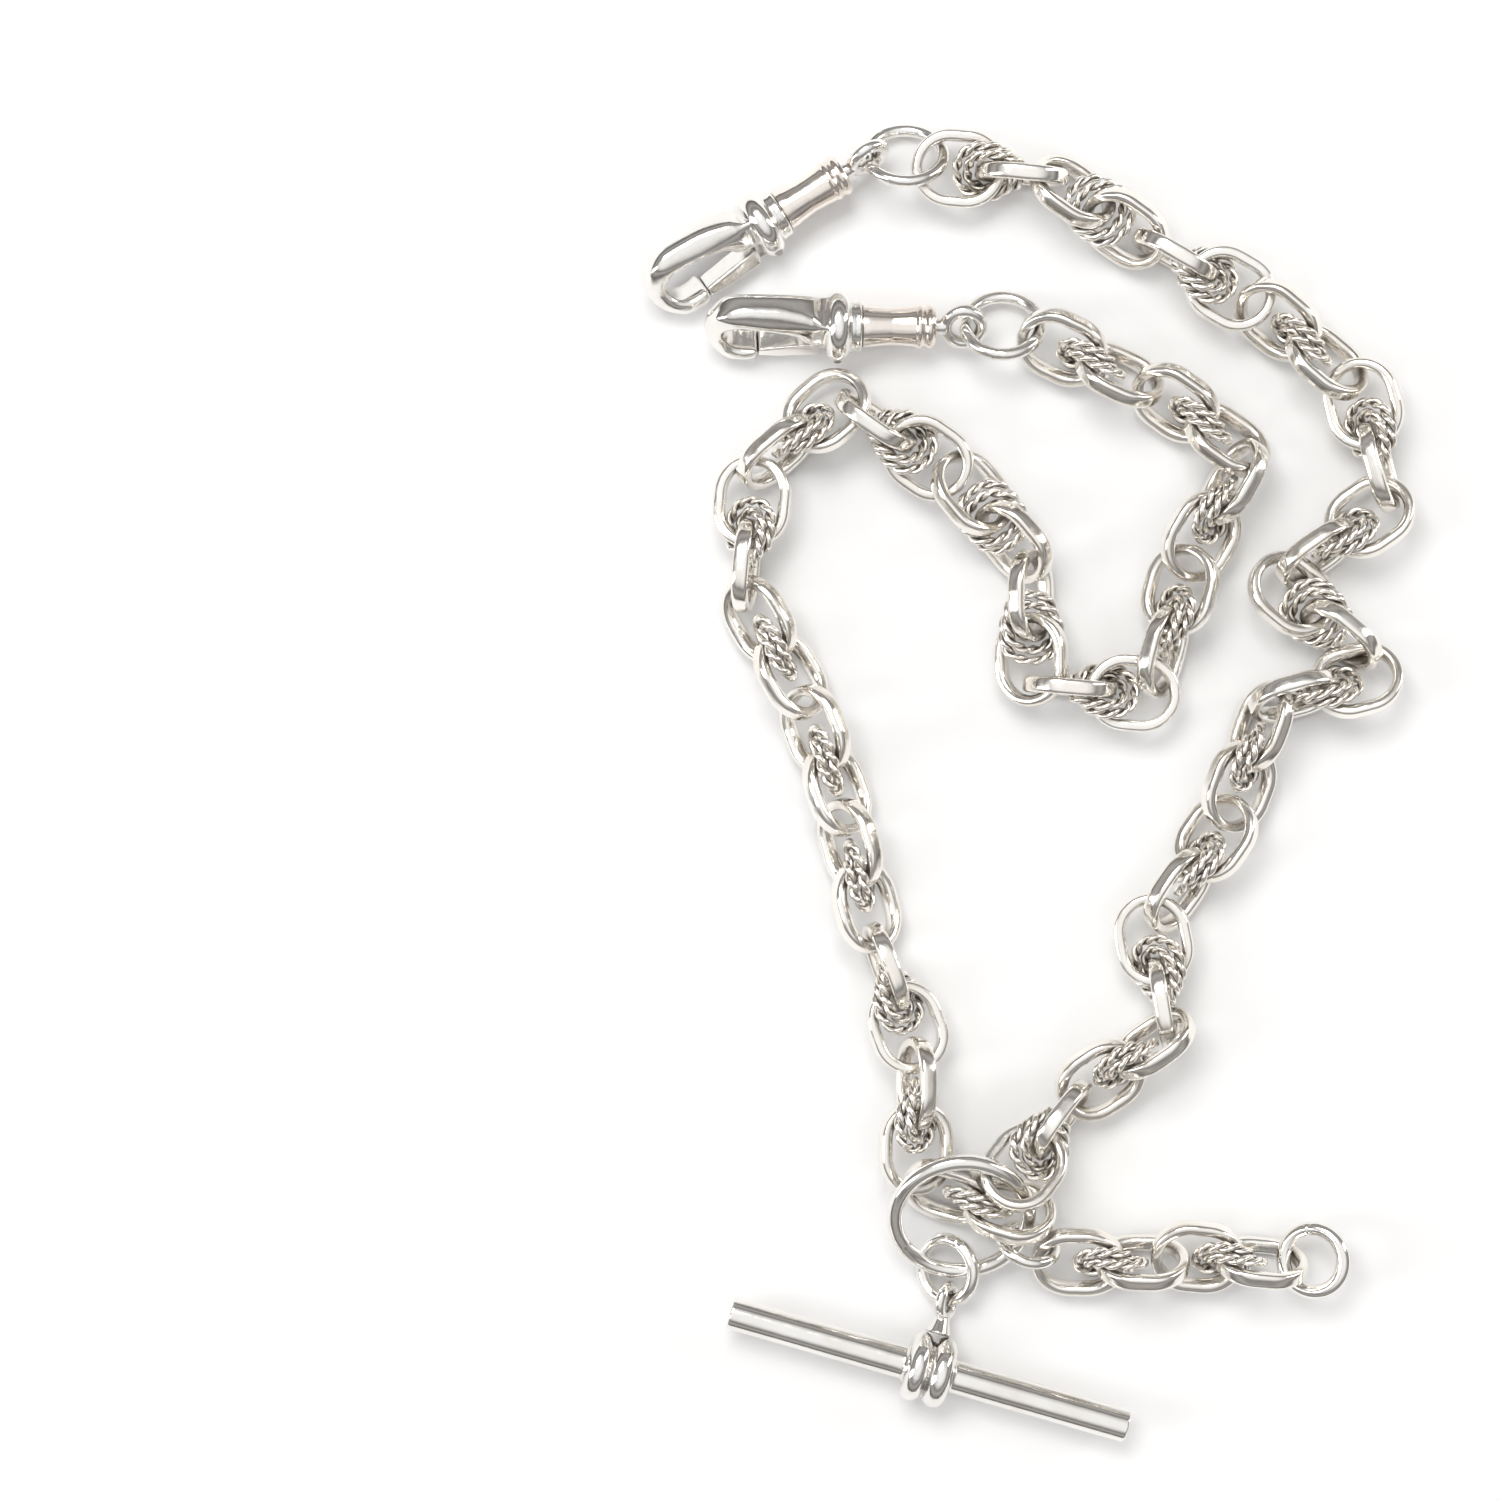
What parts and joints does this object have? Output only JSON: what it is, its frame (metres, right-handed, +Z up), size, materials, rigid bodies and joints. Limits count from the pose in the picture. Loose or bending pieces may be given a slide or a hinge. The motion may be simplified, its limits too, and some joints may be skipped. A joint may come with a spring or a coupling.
{
  "type": "pocket watch chain",
  "caption": "Double pocket watch chain of knotted links with swivel clips, a T-bar for a waistcoat buttonhole and a short drop chain.",
  "frame": {"origin": "middle of the chain as it lies, on the surface it lies on", "axes": "+Z up from the surface, +Y from the T-bar towards the swivel clips, along the longest side; +X to the right, towards the long chain"},
  "size_m": [0.0604, 0.1034, 0.0077],
  "materials": {
    "silver": "polished sterling silver with light tarnish in the recesses",
    "rosy_silver": "polished silver, slightly warmer, lightly scratched",
    "steel": "plain steel, dull"
  },
  "bodies": {
    "centre_ring": {"centre_ring": "silver"},
    "long_chain_knot_01": {"long_chain_knot_01": "silver"},
    "long_chain_knot_02": {"long_chain_knot_02": "silver"},
    "long_chain_knot_03": {"long_chain_knot_03": "silver"},
    "long_chain_knot_04": {"long_chain_knot_04": "silver"},
    "long_chain_knot_05": {"long_chain_knot_05": "silver"},
    "long_chain_knot_06": {"long_chain_knot_06": "silver"},
    "long_chain_knot_07": {"long_chain_knot_07": "silver"},
    "long_chain_knot_08": {"long_chain_knot_08": "silver"},
    "long_chain_knot_09": {"long_chain_knot_09": "silver"},
    "long_chain_knot_10": {"long_chain_knot_10": "silver"},
    "long_chain_knot_11": {"long_chain_knot_11": "silver"},
    "long_chain_knot_12": {"long_chain_knot_12": "silver"},
    "inner_chain_knot_01": {"inner_chain_knot_01": "silver"},
    "inner_chain_knot_02": {"inner_chain_knot_02": "silver"},
    "inner_chain_knot_03": {"inner_chain_knot_03": "silver"},
    "inner_chain_knot_04": {"inner_chain_knot_04": "silver"},
    "inner_chain_knot_05": {"inner_chain_knot_05": "silver"},
    "inner_chain_knot_06": {"inner_chain_knot_06": "silver"},
    "inner_chain_knot_07": {"inner_chain_knot_07": "silver"},
    "inner_chain_knot_08": {"inner_chain_knot_08": "silver"},
    "inner_chain_knot_09": {"inner_chain_knot_09": "silver"},
    "inner_chain_knot_10": {"inner_chain_knot_10": "silver"},
    "inner_chain_knot_11": {"inner_chain_knot_11": "silver"},
    "inner_chain_knot_12": {"inner_chain_knot_12": "silver"},
    "inner_chain_knot_13": {"inner_chain_knot_13": "silver"},
    "inner_chain_knot_14": {"inner_chain_knot_14": "silver"},
    "inner_chain_knot_15": {"inner_chain_knot_15": "silver"},
    "long_chain_knot_13": {"long_chain_knot_13": "silver"},
    "inner_chain_knot_16": {"inner_chain_knot_16": "silver"},
    "t_bar_ring": {"t_bar_ring": "silver"},
    "t_bar": {"bar": "silver", "bar_collar": "silver", "bar_eye": "silver"},
    "drop_ring": {"drop_ring": "silver"},
    "drop_chain_knot_01": {"drop_chain_knot_01": "silver"},
    "drop_chain_knot_02": {"drop_chain_knot_02": "silver"},
    "end_ring": {"end_ring": "silver"},
    "upper_jump_ring": {"upper_jump_ring": "silver"},
    "upper_swivel_eye": {"upper_swivel_eye": "silver"},
    "lower_jump_ring": {"lower_jump_ring": "silver"},
    "lower_swivel_eye": {"lower_swivel_eye": "silver"},
    "upper_clip": {"upper_hook_body": "silver", "upper_hinge_pin": "steel", "upper_leaf_spring": "steel", "upper_barrel": "rosy_silver"},
    "upper_gate": {"upper_gate_lever": "silver"},
    "lower_clip": {"lower_hook_body": "silver", "lower_hinge_pin": "steel", "lower_leaf_spring": "steel", "lower_barrel": "rosy_silver"},
    "lower_gate": {"lower_gate_lever": "silver"}
  },
  "joints": [
    {"name": "long_chain_knot_01_swing", "type": "hinge", "parent": "long_chain_knot_02", "child": "long_chain_knot_01", "pos_m": [0.00204, 0.04705, 0.00329], "axis": [0, 0, -1], "range_deg": [0, 25]},
    {"name": "long_chain_knot_02_lift", "type": "hinge", "parent": "long_chain_knot_03", "child": "long_chain_knot_02", "pos_m": [0.00963, 0.04181, 0.00313], "axis": [0.4953, 0.8687, 0], "range_deg": [-5, 25]},
    {"name": "long_chain_knot_03_swing", "type": "hinge", "parent": "long_chain_knot_04", "child": "long_chain_knot_03", "pos_m": [0.0174, 0.03786, 0.00297], "axis": [0, 0, 1], "range_deg": [-25, 0]},
    {"name": "long_chain_knot_04_lift", "type": "hinge", "parent": "long_chain_knot_05", "child": "long_chain_knot_04", "pos_m": [0.02477, 0.03125, 0.00299], "axis": [-0.7657, -0.6432, 0], "range_deg": [-25, 25]},
    {"name": "long_chain_knot_05_swing", "type": "hinge", "parent": "long_chain_knot_06", "child": "long_chain_knot_05", "pos_m": [0.02794, 0.02191, 0.00284], "axis": [0, 0, -1], "range_deg": [0, 25]},
    {"name": "long_chain_knot_06_lift", "type": "hinge", "parent": "long_chain_knot_07", "child": "long_chain_knot_06", "pos_m": [0.0207, 0.01585, 0.0023], "axis": [0.8489, -0.5286, 0], "range_deg": [-25, 10]},
    {"name": "long_chain_knot_07_swing", "type": "hinge", "parent": "long_chain_knot_08", "child": "long_chain_knot_07", "pos_m": [0.02571, 0.00891, 0.00219], "axis": [0, 0, 1], "range_deg": [-25, 0]},
    {"name": "long_chain_knot_08_swing", "type": "hinge", "parent": "long_chain_knot_09", "child": "long_chain_knot_08", "pos_m": [0.01845, 0.00645, 0.00313], "axis": [0, 0, -1], "range_deg": [-5, 15]},
    {"name": "long_chain_knot_09_lift", "type": "hinge", "parent": "long_chain_knot_10", "child": "long_chain_knot_09", "pos_m": [0.01566, -0.00262, 0.00298], "axis": [-0.9111, 0.4122, 0], "range_deg": [-25, 25]},
    {"name": "long_chain_knot_10_swing", "type": "hinge", "parent": "long_chain_knot_11", "child": "long_chain_knot_10", "pos_m": [0.0102, -0.01084, 0.00312], "axis": [0, 0, 1], "range_deg": [-25, 0]},
    {"name": "long_chain_knot_11_lift", "type": "hinge", "parent": "long_chain_knot_12", "child": "long_chain_knot_11", "pos_m": [0.01097, -0.02001, 0.0033], "axis": [0.9525, -0.3045, 0], "range_deg": [-5, 15]},
    {"name": "long_chain_knot_12_swing", "type": "hinge", "parent": "long_chain_knot_13", "child": "long_chain_knot_12", "pos_m": [0.00407, -0.02446, 0.00315], "axis": [0, 0, -1], "range_deg": [0, 25]},
    {"name": "inner_chain_knot_01_lift", "type": "hinge", "parent": "inner_chain_knot_02", "child": "inner_chain_knot_01", "pos_m": [0.00941, 0.03072, 0.00297], "axis": [-0.4582, -0.8889, 0], "range_deg": [-25, 25]},
    {"name": "inner_chain_knot_02_lift", "type": "hinge", "parent": "inner_chain_knot_03", "child": "inner_chain_knot_02", "pos_m": [0.01705, 0.02449, 0.0032], "axis": [0.9908, 0.1357, 0], "range_deg": [-10, 5]},
    {"name": "inner_chain_knot_03_lift", "type": "hinge", "parent": "inner_chain_knot_04", "child": "inner_chain_knot_03", "pos_m": [0.01256, 0.01692, 0.00301], "axis": [0.9281, -0.3723, 0], "range_deg": [-25, 25]},
    {"name": "inner_chain_knot_04_lift", "type": "hinge", "parent": "inner_chain_knot_05", "child": "inner_chain_knot_04", "pos_m": [0.00966, 0.00784, 0.00334], "axis": [-0.8048, 0.5936, 0], "range_deg": [-20, 25]},
    {"name": "inner_chain_knot_05_swing", "type": "hinge", "parent": "inner_chain_knot_06", "child": "inner_chain_knot_05", "pos_m": [0.00046, 0.00767, 0.00361], "axis": [0, 0, -1], "range_deg": [0, 5]},
    {"name": "inner_chain_knot_06_lift", "type": "hinge", "parent": "inner_chain_knot_07", "child": "inner_chain_knot_06", "pos_m": [0.0002, 0.01695, 0.00297], "axis": [-0.9488, -0.3158, 0], "range_deg": [-25, 20]},
    {"name": "inner_chain_knot_07_swing", "type": "hinge", "parent": "inner_chain_knot_08", "child": "inner_chain_knot_07", "pos_m": [-0.00591, 0.02404, 0.00315], "axis": [0, 0, 1], "range_deg": [-10, 0]},
    {"name": "inner_chain_knot_08_lift", "type": "hinge", "parent": "inner_chain_knot_09", "child": "inner_chain_knot_08", "pos_m": [-0.01319, 0.02912, 0.00372], "axis": [0.1975, 0.9803, 0], "range_deg": [-25, 25]},
    {"name": "inner_chain_knot_09_swing", "type": "hinge", "parent": "inner_chain_knot_10", "child": "inner_chain_knot_09", "pos_m": [-0.02172, 0.02408, 0.00294], "axis": [0, 0, -1], "range_deg": [-10, 5]},
    {"name": "inner_chain_knot_10_lift", "type": "hinge", "parent": "inner_chain_knot_11", "child": "inner_chain_knot_10", "pos_m": [-0.02233, 0.01485, 0.00318], "axis": [0.975, 0.2223, 0], "range_deg": [-25, 15]},
    {"name": "inner_chain_knot_11_swing", "type": "hinge", "parent": "inner_chain_knot_12", "child": "inner_chain_knot_11", "pos_m": [-0.01749, 0.00604, 0.00305], "axis": [0, 0, 1], "range_deg": [0, 15]},
    {"name": "inner_chain_knot_12_lift", "type": "hinge", "parent": "inner_chain_knot_13", "child": "inner_chain_knot_12", "pos_m": [-0.01439, -0.00295, 0.00313], "axis": [-0.9734, -0.2293, 0], "range_deg": [-25, 25]},
    {"name": "inner_chain_knot_13_swing", "type": "hinge", "parent": "inner_chain_knot_14", "child": "inner_chain_knot_13", "pos_m": [-0.0121, -0.01213, 0.00305], "axis": [0, 0, -1], "range_deg": [-25, 0]},
    {"name": "inner_chain_knot_14_lift", "type": "hinge", "parent": "inner_chain_knot_15", "child": "inner_chain_knot_14", "pos_m": [-0.00894, -0.02172, 0.00312], "axis": [0.9892, 0.1466, 0], "range_deg": [-25, 25]},
    {"name": "inner_chain_knot_15_swing", "type": "hinge", "parent": "inner_chain_knot_16", "child": "inner_chain_knot_15", "pos_m": [-0.00844, -0.03074, 0.00324], "axis": [0, 0, 1], "range_deg": [0, 25]},
    {"name": "long_chain_knot_13_lift", "type": "hinge", "parent": "centre_ring", "child": "long_chain_knot_13", "pos_m": [-0.00212, -0.03153, 0.00598], "axis": [-0.6314, 0.7754, 0], "range_deg": [-25, 20]},
    {"name": "inner_chain_knot_16_lift", "type": "hinge", "parent": "centre_ring", "child": "inner_chain_knot_16", "pos_m": [-0.00173, -0.03397, 0.00416], "axis": [-0.1216, 0.9926, 0], "range_deg": [-25, 0]},
    {"name": "t_bar_ring_lift", "type": "hinge", "parent": "centre_ring", "child": "t_bar_ring", "pos_m": [-0.00613, -0.03791, 0.00231], "axis": [-0.9751, 0.2216, 0], "range_deg": [-25, 25]},
    {"name": "t_bar_swing", "type": "hinge", "parent": "t_bar_ring", "child": "t_bar", "pos_m": [-0.0062, -0.04025, 0.00187], "axis": [0, 0, -1], "range_deg": [-25, 25]},
    {"name": "drop_ring_swing", "type": "hinge", "parent": "centre_ring", "child": "drop_ring", "pos_m": [-0.00183, -0.03593, 0.00314], "axis": [0, 0, 1], "range_deg": [-25, 5]},
    {"name": "drop_chain_knot_01_lift", "type": "hinge", "parent": "drop_ring", "child": "drop_chain_knot_01", "pos_m": [0.00146, -0.03683, 0.00309], "axis": [0.3371, 0.9415, 0], "range_deg": [-20, 15]},
    {"name": "drop_chain_knot_02_swing", "type": "hinge", "parent": "drop_chain_knot_01", "child": "drop_chain_knot_02", "pos_m": [0.01105, -0.03744, 0.00301], "axis": [0, 0, 1], "range_deg": [-25, 25]},
    {"name": "end_ring_lift", "type": "hinge", "parent": "drop_chain_knot_02", "child": "end_ring", "pos_m": [0.02011, -0.03787, 0.00271], "axis": [-0.0543, 0.9985, 0], "range_deg": [-25, 25]},
    {"name": "upper_jump_ring_lift", "type": "hinge", "parent": "long_chain_knot_01", "child": "upper_jump_ring", "pos_m": [-0.0079, 0.04836, 0.00312], "axis": [0.2546, 0.967, 0], "range_deg": [-25, 25]},
    {"name": "upper_swivel_eye_swing", "type": "hinge", "parent": "upper_jump_ring", "child": "upper_swivel_eye", "pos_m": [-0.01234, 0.04891, 0.00266], "axis": [0, 0, -1], "range_deg": [0, 25]},
    {"name": "lower_jump_ring_lift", "type": "hinge", "parent": "inner_chain_knot_01", "child": "lower_jump_ring", "pos_m": [0.0002, 0.03482, 0.00309], "axis": [0.3521, 0.936, 0], "range_deg": [-25, 25]},
    {"name": "lower_swivel_eye_swing", "type": "hinge", "parent": "lower_jump_ring", "child": "lower_swivel_eye", "pos_m": [-0.00489, 0.03515, 0.00281], "axis": [0, 0, -1], "range_deg": [0, 5]},
    {"name": "upper_clip_swivel", "type": "hinge", "parent": "upper_swivel_eye", "child": "upper_clip", "pos_m": [-0.01496, 0.04711, 0.0029], "axis": [0.848, 0.5299, 0], "continuous": true},
    {"name": "upper_gate_hinge", "type": "hinge", "parent": "upper_clip", "child": "upper_gate", "pos_m": [-0.02032, 0.04247, 0.0018], "axis": [-0.3747, 0.5997, -0.7071], "range_deg": [0, 18], "stiffness_Nm_per_rad": 0.002, "springref_deg": -5.73},
    {"name": "lower_clip_swivel", "type": "hinge", "parent": "lower_swivel_eye", "child": "lower_clip", "pos_m": [-0.0079, 0.0354, 0.00296], "axis": [0.9994, 0, -0.0349], "continuous": true},
    {"name": "lower_gate_hinge", "type": "hinge", "parent": "lower_clip", "child": "lower_gate", "pos_m": [-0.01495, 0.03467, 0.00183], "axis": [-0.0164, 0.8829, -0.4692], "range_deg": [0, 18], "stiffness_Nm_per_rad": 0.002, "springref_deg": -5.73}
  ]
}
